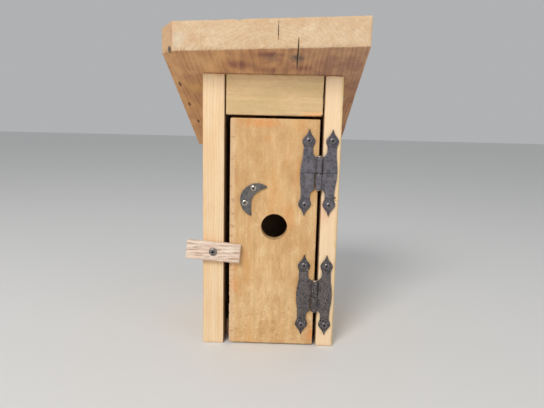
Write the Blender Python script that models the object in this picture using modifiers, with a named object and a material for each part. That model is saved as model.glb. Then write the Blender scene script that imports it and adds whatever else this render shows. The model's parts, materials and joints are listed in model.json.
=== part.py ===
"""A birdhouse of thick pine boards, with a sloping roof and a hinged front door that a turn button holds shut.

Metres. +Z is up, +X is to the right as seen from the front, and the front faces -Y. The origin is the middle
of the base, on the underside of the floor board.
"""

import math

import bmesh
import bpy
from mathutils import Vector

MM = 0.001

# Driving dimensions of the body
BODY_WIDTH = 146.6 * MM
BODY_DEPTH = 140.0 * MM
FRONT_HEIGHT = 298.1 * MM
ROOF_SLOPE = math.radians(25.3)
LEFT_WALL_THICKNESS = 23.3 * MM
RIGHT_WALL_THICKNESS = 19.3 * MM
BOARD_THICKNESS = 19.0 * MM
HEADER_BOTTOM = 255.5 * MM
BACK_WALL_BELOW_ROOF = 1.5 * MM
GAP = 0.3 * MM
BOARD_ARRIS = 0.5 * MM

# Roof: how far it reaches past the walls, and the skewed saw cut along its front edge
ROOF_THICKNESS = 25.4 * MM
ROOF_PAST_LEFT = 34.5 * MM
ROOF_PAST_RIGHT = 18.7 * MM
ROOF_PAST_FRONT_AT_LEFT = 31.8 * MM
ROOF_PAST_FRONT_AT_RIGHT = 44.4 * MM
ROOF_PAST_BACK = 31.5 * MM
WANE_WIDTH = 10.5 * MM
WANE_HEIGHT = 5.0 * MM

# Door and its entrance hole
DOOR_THICKNESS = 12.7 * MM
DOOR_GAP_LATCH_SIDE = 5.9 * MM
DOOR_GAP_HINGE_SIDE = 3.5 * MM
DOOR_BOTTOM = 1.5 * MM
DOOR_TOP = 252.5 * MM
HOLE_X = 4.5 * MM
HOLE_Z = 136.4 * MM
HOLE_RADIUS = 14.3 * MM
FLOOR_BEHIND_DOOR = 11.0 * MM

# Turn button
BUTTON_LENGTH = 59.6 * MM
BUTTON_WIDTH = 21.6 * MM
BUTTON_THICKNESS = 6.8 * MM
BUTTON_X = -61.0 * MM
BUTTON_Z = 108.6 * MM
BUTTON_TILT = math.radians(4.1)
BUTTON_ARRIS = 1.0 * MM

# Strap hinges: a leaf with a spade at each end, a tab at its middle, and half of the barrel
LEAF_THICKNESS = 2.0 * MM
LEAF_CENTRELINE = 12.7 * MM
LEAF_SCREW_HEIGHT = 34.2 * MM
TAB_HALF_HEIGHT = 17.6 * MM
BARREL_RADIUS = 3.6 * MM
BARREL_BORE_RADIUS = 1.9 * MM
BARREL_HALF_HEIGHT = 17.2 * MM
PIN_RADIUS = 1.55 * MM
PIN_HEAD_RADIUS = 2.9 * MM
PIN_X = 50.6 * MM
UPPER_HINGE_Z = 196.3 * MM
LOWER_HINGE_Z = 60.3 * MM

# Moon plate
MOON_X = -14.3 * MM
MOON_Z = 165.6 * MM
MOON_RADIUS = 18.4 * MM
MOON_THICKNESS = 2.0 * MM
MOON_TIP_ANGLES = (53, 250)
MOON_INNER_EDGE = ((-6.6, -4.8), (-5.2, 3.2), (0.8, 9.4))
MOON_SCREWS = {"upper": (-18.5 * MM, 178.6 * MM), "lower": (-27.5 * MM, 162.6 * MM)}

# Screws: head radius, head height, shank radius, length below the head
HINGE_SCREW = (3.4 * MM, 1.3 * MM, 1.6 * MM, 13.0 * MM)
PLATE_SCREW = (3.4 * MM, 1.3 * MM, 1.6 * MM, 12.0 * MM)
BUTTON_SCREW = (4.5 * MM, 1.7 * MM, 2.0 * MM, 26.0 * MM)
BOARD_SCREW = (4.0 * MM, 1.5 * MM, 1.9 * MM, 42.0 * MM)
ROOF_SCREW = (4.2 * MM, 1.5 * MM, 2.0 * MM, 55.0 * MM)
SCREW_CLEARANCE = 0.3 * MM

# Worked out from the driving dimensions
LEFT_X = -BODY_WIDTH / 2
RIGHT_X = BODY_WIDTH / 2
FRONT_Y = -BODY_DEPTH / 2
BACK_Y = BODY_DEPTH / 2
INNER_LEFT_X = LEFT_X + LEFT_WALL_THICKNESS
INNER_RIGHT_X = RIGHT_X - RIGHT_WALL_THICKNESS
DOOR_LEFT_X = INNER_LEFT_X + DOOR_GAP_LATCH_SIDE
DOOR_RIGHT_X = INNER_RIGHT_X - DOOR_GAP_HINGE_SIDE
DOOR_BACK_Y = FRONT_Y + DOOR_THICKNESS
BACK_WALL_FRONT_Y = BACK_Y - BOARD_THICKNESS
PLATE_BACK_Y = FRONT_Y - GAP
PIN_Y = PLATE_BACK_Y - BARREL_RADIUS - 0.1 * MM

# Turns that carry a shape drawn in its own plane to its place
FACING_FRONT = (math.radians(90), 0, 0)
FACING_LEFT = (0, math.radians(-90), 0)
FACING_RIGHT = (0, math.radians(90), 0)
FACING_UP_SLOPE = (-ROOF_SLOPE, 0, 0)
SIDE_PROFILE = (math.radians(90), 0, math.radians(90))

PINE = (0.83, 0.60, 0.36)
HONEY_PINE = (0.67, 0.41, 0.19)
ROOF_PINE = (0.72, 0.52, 0.34)
GREY_WOOD = (0.72, 0.58, 0.48)
BLACK_IRON = (0.09, 0.09, 0.10)
SLATE_IRON = (0.13, 0.14, 0.15)
BRIGHT_STEEL = (0.50, 0.50, 0.52)
SCREW_STEEL = (0.22, 0.22, 0.23)


def clear_scene():
    for item in list(bpy.data.objects):
        bpy.data.objects.remove(item)


def new_collection(name):
    collection = bpy.data.collections.new(name)
    bpy.context.scene.collection.children.link(collection)
    return collection


def add_object(name, data, collection):
    item = bpy.data.objects.new(name, data)
    collection.objects.link(item)
    return item


def finish(piece, colour, roughness, metallic=0.0):
    """Gives a piece a material of its own."""
    material = bpy.data.materials.new(piece.name)
    material.use_nodes = True
    shader = material.node_tree.nodes["Principled BSDF"]
    shader.inputs["Base Color"].default_value = (*colour, 1.0)
    shader.inputs["Roughness"].default_value = roughness
    shader.inputs["Metallic"].default_value = metallic
    piece.data.materials.clear()
    piece.data.materials.append(material)


def outlined(name, points, thickness, location, rotation, resolution=4):
    """A flat plate from a closed outline, as a mesh whose caps are welded.

    Each point is (x, y, kind): a VECTOR point is a corner, and an AUTO point lies on a smooth stretch.
    """
    curve = bpy.data.curves.new(name, "CURVE")
    curve.dimensions = "2D"
    curve.fill_mode = "BOTH"
    curve.extrude = thickness / 2
    curve.resolution_u = resolution
    curve.render_resolution_u = resolution
    spline = curve.splines.new("BEZIER")
    spline.bezier_points.add(len(points) - 1)
    spline.use_cyclic_u = True
    for knot, (x, y, kind) in zip(spline.bezier_points, points):
        knot.co = (x, y, 0)
        knot.handle_left_type = kind
        knot.handle_right_type = kind
    drawn = add_object(name + "_outline", curve, parts)
    drawn.location = location
    drawn.rotation_euler = rotation
    bpy.context.view_layer.update()
    mesh = bpy.data.meshes.new_from_object(drawn.evaluated_get(bpy.context.evaluated_depsgraph_get()))
    shape = bmesh.new()
    shape.from_mesh(mesh)
    bmesh.ops.remove_doubles(shape, verts=shape.verts, dist=0.01 * MM)
    shape.to_mesh(mesh)
    shape.free()
    plate = add_object(name, mesh, parts)
    plate.matrix_world = drawn.matrix_world
    bpy.data.objects.remove(drawn)
    return plate


def side_board(name, profile, x_low, x_high, colour):
    """A board with its (y, z) profile seen from the side, running from x_low to x_high."""
    corners = [(y, z, "VECTOR") for y, z in profile]
    middle = ((x_low + x_high) / 2, 0, 0)
    board = outlined(name, corners, x_high - x_low, middle, SIDE_PROFILE, resolution=1)
    round_arris(board, BOARD_ARRIS)
    finish(board, colour, 0.75)
    return board


def round_arris(piece, width):
    bevel = piece.modifiers.new("arris", "BEVEL")
    bevel.width = width
    bevel.segments = 1
    bevel.limit_method = "ANGLE"
    bevel.angle_limit = math.radians(20)


def turned(name, profile, steps, collection):
    """A turned piece about its own Z axis. The (radius, height) profile runs from its top to its bottom."""
    mesh = bpy.data.meshes.new(name)
    shape = bmesh.new()
    rings = [shape.verts.new((radius, 0, height)) for radius, height in profile]
    for upper, lower in zip(rings, rings[1:]):
        shape.edges.new((upper, lower))
    shape.to_mesh(mesh)
    shape.free()
    piece = add_object(name, mesh, collection)
    screw = piece.modifiers.new("turn", "SCREW")
    screw.axis = "Z"
    screw.steps = steps
    screw.render_steps = steps
    screw.use_merge_vertices = True
    screw.merge_threshold = 0.02 * MM
    screw.use_smooth_shade = True
    return piece


def dome(radius, height, base, rings=3):
    """Profile of a domed head, from the middle of its top out to its rim."""
    angles = [math.radians(90) * ring / rings for ring in range(rings + 1)]
    return [(radius * math.sin(a), base + height * math.cos(a)) for a in angles]


def hide_cutter(cutter):
    cutter.hide_render = True
    cutter.display_type = "WIRE"


def combine(piece, other, operation):
    boolean = piece.modifiers.new(other.name, "BOOLEAN")
    boolean.operation = operation
    boolean.solver = "EXACT"
    boolean.object = other


def round_bar(name, radius, low, high, segments, location, rotation):
    """A cylinder along its own Z axis from low to high, kept with the cutters."""
    mesh = bpy.data.meshes.new(name)
    shape = bmesh.new()
    bmesh.ops.create_cone(
        shape, cap_ends=True, segments=segments, radius1=radius, radius2=radius, depth=high - low
    )
    bmesh.ops.translate(shape, verts=shape.verts, vec=(0, 0, (low + high) / 2))
    shape.to_mesh(mesh)
    shape.free()
    bar = add_object(name, mesh, cutters)
    bar.location = location
    bar.rotation_euler = rotation
    hide_cutter(bar)
    return bar


def add_screw(name, size, seat, rotation, through, colour, steps=10):
    """A pan-head screw whose head sits on the point seat, and a clearance hole in each piece it goes through."""
    head_radius, head_height, shank_radius, length = size
    point = shank_radius * 1.5
    profile = dome(head_radius, head_height, 0)
    profile += [(shank_radius, 0), (shank_radius, point - length), (0, -length)]
    screw = turned(name, profile, steps, parts)
    screw.rotation_euler = rotation
    bpy.context.view_layer.update()
    outwards = screw.matrix_world.to_3x3() @ Vector((0, 0, 1))
    screw.location = Vector(seat) + outwards * GAP
    finish(screw, colour, 0.4, 1.0)
    hole_radius = shank_radius + SCREW_CLEARANCE
    hole = round_bar(name + "_hole", hole_radius, -length - GAP, head_height, 12, screw.location, rotation)
    for piece in through:
        combine(piece, hole, "DIFFERENCE")
    return screw


def underside_z(y):
    """Height of the roof's underside."""
    return FRONT_HEIGHT - (y - FRONT_Y) * math.tan(ROOF_SLOPE)


def wall_top_z(y):
    return underside_z(y) - GAP


def make_boards():
    """The five fixed boards of the body, under the roof. The back wall is cut square and leaves a vent above it."""
    wall = [(FRONT_Y, 0), (BACK_Y, 0), (BACK_Y, wall_top_z(BACK_Y)), (FRONT_Y, wall_top_z(FRONT_Y))]
    inside = (INNER_LEFT_X + GAP, INNER_RIGHT_X - GAP)
    header_back_y = FRONT_Y + BOARD_THICKNESS
    header = [
        (FRONT_Y, HEADER_BOTTOM),
        (header_back_y, HEADER_BOTTOM),
        (header_back_y, wall_top_z(header_back_y)),
        (FRONT_Y, wall_top_z(FRONT_Y)),
    ]
    back_top_z = underside_z(BACK_Y) - BACK_WALL_BELOW_ROOF
    back = [
        (BACK_WALL_FRONT_Y, 0),
        (BACK_Y, 0),
        (BACK_Y, back_top_z),
        (BACK_WALL_FRONT_Y, back_top_z),
    ]
    floor_front_y = DOOR_BACK_Y + FLOOR_BEHIND_DOOR
    floor_back_y = BACK_WALL_FRONT_Y - GAP
    floor = [
        (floor_front_y, 0),
        (floor_back_y, 0),
        (floor_back_y, BOARD_THICKNESS),
        (floor_front_y, BOARD_THICKNESS),
    ]
    return {
        "left_side_wall": side_board("left_side_wall", wall, LEFT_X, INNER_LEFT_X, PINE),
        "right_side_wall": side_board("right_side_wall", wall, INNER_RIGHT_X, RIGHT_X, PINE),
        "header": side_board("header", header, *inside, PINE),
        "back_wall": side_board("back_wall", back, *inside, PINE),
        "floor_board": side_board("floor_board", floor, *inside, PINE),
    }


def make_roof():
    """The roof slab: its plumb end face, with a waney top left edge, run back and sheared down the slope."""
    left = LEFT_X - ROOF_PAST_LEFT
    right = RIGHT_X + ROOF_PAST_RIGHT
    back = BACK_Y + ROOF_PAST_BACK
    height = ROOF_THICKNESS / math.cos(ROOF_SLOPE)
    end_face = [
        (left, 0, "VECTOR"),
        (right, 0, "VECTOR"),
        (right, height, "VECTOR"),
        (left + WANE_WIDTH, height, "VECTOR"),
        (left, height - WANE_HEIGHT, "VECTOR"),
    ]
    roof = outlined("roof_slab", end_face, 1.0, (0, 0, 0), FACING_FRONT, resolution=1)
    shape = bmesh.new()
    shape.from_mesh(roof.data)
    shape.transform(roof.matrix_world)
    for corner in shape.verts:
        across = (corner.co.x - left) / (right - left)
        past_front = ROOF_PAST_FRONT_AT_LEFT + across * (ROOF_PAST_FRONT_AT_RIGHT - ROOF_PAST_FRONT_AT_LEFT)
        is_front = corner.co.y < 0
        corner.co.y = FRONT_Y - past_front if is_front else back
        corner.co.z += underside_z(corner.co.y)
    shape.to_mesh(roof.data)
    shape.free()
    roof.matrix_world.identity()
    round_arris(roof, BOARD_ARRIS)
    finish(roof, ROOF_PINE, 0.8)
    return roof


def fasten_boards(boards, roof):
    """The hidden screws: through the side walls into the boards between them, and down through the roof."""
    back_y = BACK_Y - BOARD_THICKNESS / 2
    header_y = FRONT_Y + BOARD_THICKNESS / 2
    places = {
        "back_wall_screw_low": (back_y, 60 * MM, "back_wall"),
        "back_wall_screw_high": (back_y, 175 * MM, "back_wall"),
        "floor_screw_front": (-32 * MM, BOARD_THICKNESS / 2, "floor_board"),
        "floor_screw_rear": (30 * MM, BOARD_THICKNESS / 2, "floor_board"),
        "header_screw": (header_y, 275 * MM, "header"),
    }
    sides = {
        "left": (LEFT_X, FACING_LEFT, boards["left_side_wall"]),
        "right": (RIGHT_X, FACING_RIGHT, boards["right_side_wall"]),
    }
    for side, (x, rotation, wall) in sides.items():
        for label, (y, z, board) in places.items():
            through = [wall, boards[board]]
            add_screw(f"{label}_{side}", BOARD_SCREW, (x, y, z), rotation, through, SCREW_STEEL)
    normal = Vector((0, math.sin(ROOF_SLOPE), math.cos(ROOF_SLOPE)))
    wall_middles = {
        "left": ((LEFT_X + INNER_LEFT_X) / 2, boards["left_side_wall"]),
        "right": ((INNER_RIGHT_X + RIGHT_X) / 2, boards["right_side_wall"]),
    }
    for side, (x, wall) in wall_middles.items():
        for label, y in (("front", -38 * MM), ("rear", 38 * MM)):
            seat = Vector((x, y, underside_z(y))) + normal * ROOF_THICKNESS
            add_screw(f"roof_screw_{label}_{side}", ROOF_SCREW, seat, FACING_UP_SLOPE, [roof, wall], SCREW_STEEL)


def make_door():
    """The door board with its round entrance hole."""
    profile = [
        (FRONT_Y, DOOR_BOTTOM),
        (DOOR_BACK_Y, DOOR_BOTTOM),
        (DOOR_BACK_Y, DOOR_TOP),
        (FRONT_Y, DOOR_TOP),
    ]
    door = side_board("door", profile, DOOR_LEFT_X, DOOR_RIGHT_X, HONEY_PINE)
    reach = 2 * DOOR_THICKNESS
    place = (HOLE_X, FRONT_Y, HOLE_Z)
    hole = round_bar("entrance_hole", HOLE_RADIUS, -reach, reach, 48, place, FACING_FRONT)
    combine(door, hole, "DIFFERENCE")
    return door


def leaf_outline(side, barrel_side, lean):
    """A leaf drawn about the pin: side is -1 for the door leaf, and barrel_side is +1 for the upper barrel."""
    spade = [(0.0, 47.0), (2.2, 41.2), (4.6, 38.2), (6.8, 34.4), (6.3, 31.2), (5.1, 28.2), (5.0, 25.0)]
    centreline = LEAF_CENTRELINE / MM
    tab_top = TAB_HALF_HEIGHT / MM
    tab_edge = (BARREL_RADIUS + 0.5 * MM) / MM
    reach, height, kinds = [], [], []

    def draw(out, up, kind="AUTO"):
        reach.append(out)
        height.append(up)
        kinds.append(kind)

    for half_width, up in spade:
        draw(centreline - half_width, up, "VECTOR" if half_width == 0 else "AUTO")
    draw(centreline - 5.7, 20.4)
    draw(tab_edge, tab_top, "VECTOR")
    draw(0.0, tab_top - 0.8, "VECTOR")
    draw(0.0, 0.4, "VECTOR")
    draw(tab_edge, 0.4, "VECTOR")
    draw(tab_edge, -tab_top, "VECTOR")
    draw(centreline - 5.7, -20.4)
    for half_width, up in reversed(spade):
        draw(centreline - half_width, -up, "VECTOR" if half_width == 0 else "AUTO")
    outer = [(half_width, up) for half_width, up in spade if half_width > 0]
    outer += [(5.3, 17.5), (6.8, 6.0)]
    for half_width, up in outer:
        draw(centreline + half_width, -up)
    for half_width, up in reversed(outer):
        draw(centreline + half_width, up)
    points = []
    for out, up, kind in zip(reach, height, kinds):
        z = up * barrel_side
        shear = math.tan(lean) * z if out > tab_edge else 0.0
        points.append(((side * out + shear) * MM, z * MM, kind))
    return points


def make_leaf(name, side, barrel_side, centre_z, lean):
    """A hinge leaf: the hammered plate, joined to its half of the barrel and bored for the pin."""
    points = leaf_outline(side, barrel_side, lean)
    middle_y = PLATE_BACK_Y - LEAF_THICKNESS / 2
    leaf = outlined(name, points, LEAF_THICKNESS, (PIN_X, middle_y, centre_z), FACING_FRONT, resolution=3)
    centre = (PIN_X, PIN_Y, centre_z)
    low, high = sorted((0.2 * MM * barrel_side, BARREL_HALF_HEIGHT * barrel_side))
    barrel = round_bar(name + "_barrel", BARREL_RADIUS, low, high, 20, centre, (0, 0, 0))
    combine(leaf, barrel, "UNION")
    reach = 2 * BARREL_HALF_HEIGHT
    bore = round_bar(name + "_bore", BARREL_BORE_RADIUS, -reach, reach, 20, centre, (0, 0, 0))
    combine(leaf, bore, "DIFFERENCE")
    finish(leaf, BLACK_IRON, 0.55, 0.7)
    return leaf


def make_pin(name, centre_z):
    """A hinge pin: a domed head on top of the barrel and a smaller riveted one below."""
    end = BARREL_HALF_HEIGHT + GAP
    foot = [(radius, -height) for radius, height in reversed(dome(2.6 * MM, 1.0 * MM, end))]
    profile = dome(PIN_HEAD_RADIUS, 1.5 * MM, end) + [(PIN_RADIUS, end), (PIN_RADIUS, -end)] + foot
    pin = turned(name, profile, 16, parts)
    pin.location = (PIN_X, PIN_Y, centre_z)
    finish(pin, BRIGHT_STEEL, 0.35, 1.0)
    return pin


def make_hinge(label, centre_z, leans, door, wall):
    """One hinge with its pin and four screws. Returns the pieces that swing with the door."""
    door_leaf = make_leaf(f"{label}_hinge_door_leaf", -1, 1, centre_z, leans[0])
    frame_leaf = make_leaf(f"{label}_hinge_frame_leaf", 1, -1, centre_z, leans[1])
    make_pin(f"{label}_hinge_pin", centre_z)
    swinging = [door_leaf]
    leaves = {"door": (-1, leans[0], door_leaf, door), "frame": (1, leans[1], frame_leaf, wall)}
    face_y = PLATE_BACK_Y - LEAF_THICKNESS
    for owner, (side, lean, leaf, board) in leaves.items():
        for end, sign in (("top", 1), ("bottom", -1)):
            height = sign * LEAF_SCREW_HEIGHT
            x = PIN_X + side * LEAF_CENTRELINE + math.tan(lean) * height
            seat = (x, face_y, centre_z + height)
            name = f"{label}_hinge_{owner}_screw_{end}"
            screw = add_screw(name, HINGE_SCREW, seat, FACING_FRONT, [leaf, board], SCREW_STEEL, steps=14)
            if owner == "door":
                swinging.append(screw)
    return swinging


def make_moon(door):
    """The crescent plate on the door and its two screws."""
    first, last = MOON_TIP_ANGLES
    arcs = 8
    points = []
    for step in range(arcs + 1):
        angle = math.radians(first + (last - first) * step / arcs)
        kind = "VECTOR" if step in (0, arcs) else "AUTO"
        points.append((MOON_RADIUS * math.cos(angle), MOON_RADIUS * math.sin(angle), kind))
    points += [(x * MM, z * MM, "AUTO") for x, z in MOON_INNER_EDGE]
    place = (MOON_X, PLATE_BACK_Y - MOON_THICKNESS / 2, MOON_Z)
    moon = outlined("moon_plate", points, MOON_THICKNESS, place, FACING_FRONT)
    finish(moon, SLATE_IRON, 0.5, 0.7)
    pieces = [moon]
    for label, (x, z) in MOON_SCREWS.items():
        seat = (x, PLATE_BACK_Y - MOON_THICKNESS, z)
        name = f"moon_screw_{label}"
        pieces.append(add_screw(name, PLATE_SCREW, seat, FACING_FRONT, [moon, door], SCREW_STEEL, steps=14))
    return pieces


def make_turn_button(left_wall):
    """The wooden turn button on its one screw, which is also its pivot."""
    mesh = bpy.data.meshes.new("turn_button")
    shape = bmesh.new()
    bmesh.ops.create_cube(shape, size=1.0)
    bmesh.ops.scale(shape, verts=shape.verts, vec=(BUTTON_LENGTH, BUTTON_THICKNESS, BUTTON_WIDTH))
    shape.to_mesh(mesh)
    shape.free()
    button = add_object("turn_button", mesh, parts)
    button.location = (BUTTON_X, PLATE_BACK_Y - BUTTON_THICKNESS / 2, BUTTON_Z)
    button.rotation_euler = (0, BUTTON_TILT, 0)
    round_arris(button, BUTTON_ARRIS)
    finish(button, GREY_WOOD, 0.8)
    seat = (BUTTON_X, PLATE_BACK_Y - BUTTON_THICKNESS, BUTTON_Z)
    through = [button, left_wall]
    add_screw("turn_button_screw", BUTTON_SCREW, seat, FACING_FRONT, through, SCREW_STEEL, steps=16)


def hang_on_pins(pieces):
    """Parents the swinging pieces to an empty on the axis of the hinge pins."""
    pivot = add_object("door_pivot", None, parts)
    pivot.location = (PIN_X, PIN_Y, 0)
    for piece in pieces:
        piece.parent = pivot
        piece.location = piece.location - pivot.location


clear_scene()
parts = new_collection("birdhouse")
cutters = new_collection("birdhouse_cutters")
boards = make_boards()
roof = make_roof()
fasten_boards(boards, roof)
door = make_door()
swinging = [door]
upper_leans = (math.radians(2.0), math.radians(1.0))
lower_leans = (math.radians(0.9), math.radians(0.0))
swinging += make_hinge("upper", UPPER_HINGE_Z, upper_leans, door, boards["right_side_wall"])
swinging += make_hinge("lower", LOWER_HINGE_Z, lower_leans, door, boards["right_side_wall"])
swinging += make_moon(door)
make_turn_button(boards["left_side_wall"])
hang_on_pins(swinging)
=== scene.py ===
"""The birdhouse as it is put together: pine boards, forged hinges, a moon plate and a wooden turn button."""

import json
import math

import bmesh
import bpy
import numpy as np
from mathutils import Matrix, Vector, noise


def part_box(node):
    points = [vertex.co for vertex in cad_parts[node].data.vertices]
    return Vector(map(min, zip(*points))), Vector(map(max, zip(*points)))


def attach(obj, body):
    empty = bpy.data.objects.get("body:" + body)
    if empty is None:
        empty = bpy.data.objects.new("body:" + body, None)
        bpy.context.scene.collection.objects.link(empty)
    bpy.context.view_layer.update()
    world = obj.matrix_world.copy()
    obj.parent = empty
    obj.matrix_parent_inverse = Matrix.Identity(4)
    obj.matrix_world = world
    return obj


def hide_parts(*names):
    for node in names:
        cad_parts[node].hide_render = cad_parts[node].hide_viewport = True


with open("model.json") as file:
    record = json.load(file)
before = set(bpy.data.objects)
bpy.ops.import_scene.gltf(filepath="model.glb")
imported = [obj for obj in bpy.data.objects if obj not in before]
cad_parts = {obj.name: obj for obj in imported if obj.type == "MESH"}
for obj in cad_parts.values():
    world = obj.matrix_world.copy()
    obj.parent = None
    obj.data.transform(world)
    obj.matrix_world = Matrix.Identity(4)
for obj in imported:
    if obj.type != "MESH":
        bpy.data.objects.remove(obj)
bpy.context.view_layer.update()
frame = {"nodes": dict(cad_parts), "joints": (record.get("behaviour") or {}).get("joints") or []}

# ----------------------------------------------------------------------
# Side walls. Two thick boards of pale pine, sawn and left bare, with the grain upright and their top edges
# cut to the roof's slope. Their front edges frame the door: the left one carries the turn button, the right
# one the hinges.

MM = 0.001


def mm(*lengths):
    return tuple(length * MM for length in lengths)


class Strand:
    """A value on a node's socket. Arithmetic on it lays Math nodes."""

    def __init__(self, bench, socket):
        self.bench = bench
        self.socket = socket

    def maths(self, operation, first, second):
        return self.bench.node("ShaderNodeMath", {"operation": operation}, {0: first, 1: second})

    def __add__(self, other):
        return self.maths("ADD", self, other)

    def __radd__(self, other):
        return self.maths("ADD", other, self)

    def __sub__(self, other):
        return self.maths("SUBTRACT", self, other)

    def __rsub__(self, other):
        return self.maths("SUBTRACT", other, self)

    def __mul__(self, other):
        return self.maths("MULTIPLY", self, other)

    def __rmul__(self, other):
        return self.maths("MULTIPLY", other, self)

    def __truediv__(self, other):
        return self.maths("DIVIDE", self, other)

    def __pow__(self, other):
        return self.maths("POWER", self, other)


class Bench:
    """Where the nodes of one material, or of one modifier, are laid and joined up."""

    def __init__(self, tree):
        self.tree = tree

    def node(self, kind, settings=None, sockets=None, output=0):
        """Adds a node: its settings first, then the values or links of its sockets."""
        made = self.tree.nodes.new(kind)
        for name, value in (settings or {}).items():
            setattr(made, name, value)
        for name, value in (sockets or {}).items():
            self.plug(made.inputs[name], value)
        return Strand(self, made.outputs[output])

    def plug(self, socket, value):
        if isinstance(value, Strand):
            self.tree.links.new(value.socket, socket)
        else:
            socket.default_value = value

    def vector(self, operation, first, second, output=0):
        settings = {"operation": operation}
        return self.node("ShaderNodeVectorMath", settings, {0: first, 1: second}, output)

    def shaded(self, colour, factor):
        """A colour made lighter or darker by a factor that varies."""
        return self.node("ShaderNodeVectorMath", {"operation": "SCALE"}, {0: colour, "Scale": factor})

    def rise(self, value, low, high):
        """0 at low, 1 at high, and a smooth change between them. It falls where low is the larger."""
        sockets = {"Value": value, "From Min": low, "From Max": high}
        return self.node("ShaderNodeMapRange", {"interpolation_type": "SMOOTHSTEP"}, sockets)

    def blend(self, share, under, over):
        """Colour under with colour over laid on it by a share of 0 to 1."""
        return self.node("ShaderNodeMix", {"data_type": "RGBA"}, {0: share, 6: under, 7: over}, output=2)

    def noise(self, places, scales, detail=3.0, roughness=0.55):
        """Noise of 0 to 1 with its own scale, in cycles a metre, along X, Y and Z."""
        stretched = self.node("ShaderNodeMapping", {}, {"Vector": places, "Scale": scales})
        sockets = {"Vector": stretched, "Scale": 1.0, "Detail": detail, "Roughness": roughness}
        return self.node("ShaderNodeTexNoise", {}, sockets)

    def spot(self, places, centre, reach, core=0.3, ragged=None):
        """1 in the middle of an ellipsoid, fading to 0 at its reach along X, Y and Z."""
        away = self.vector("DIVIDE", self.vector("SUBTRACT", places, centre), reach)
        length = self.node("ShaderNodeVectorMath", {"operation": "LENGTH"}, {0: away}, output="Value")
        if ragged is not None:
            length = length + (ragged - 0.5) * 1.4
        return self.rise(length, 1.0, core)

    def worn(self, label):
        """A named value that the mesh carries on its points."""
        return self.node("ShaderNodeAttribute", {"attribute_name": label}, output="Fac")

    def dress(self, shader, colour, roughness, strength, distance, height):
        """Joins a finished colour, roughness and relief to a shader."""
        sockets = {"Strength": strength, "Distance": distance, "Height": height}
        self.plug(shader.inputs["Base Color"], colour)
        self.plug(shader.inputs["Roughness"], roughness)
        self.plug(shader.inputs["Normal"], self.node("ShaderNodeBump", {}, sockets))


def tone(red, green, blue):
    """A linear colour from display values of 0 to 255."""
    shares = [channel / 255 for channel in (red, green, blue)]
    channels = [c / 12.92 if c < 0.0405 else ((c + 0.055) / 1.055) ** 2.4 for c in shares]
    return (*channels, 1.0)


class Paint:
    """A colour built up in layers on one material."""

    def __init__(self, bench, places, colour=None):
        self.bench, self.places, self.colour = bench, places, colour

    def lay(self, share, over):
        self.colour = self.bench.blend(share, self.colour, over)

    def cover(self, value, low, high, share, over):
        """Lays a colour as a value goes from low to high."""
        self.lay(self.bench.rise(value, low, high) * share, over)

    def mark(self, centre, reach, core, ragged, share, over):
        """Lays a colour on one soft-edged spot."""
        self.lay(self.bench.spot(self.places, centre, reach, core, ragged) * share, over)


def blank_material(name):
    """A new material, the bench for its nodes, its shader, and places measured on the house itself."""
    material = bpy.data.materials.new(name)
    material.use_nodes = True
    bench = Bench(material.node_tree)
    shader = material.node_tree.nodes["Principled BSDF"]
    return material, bench, shader, bench.node("ShaderNodeTexCoord", output="Object")


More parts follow.
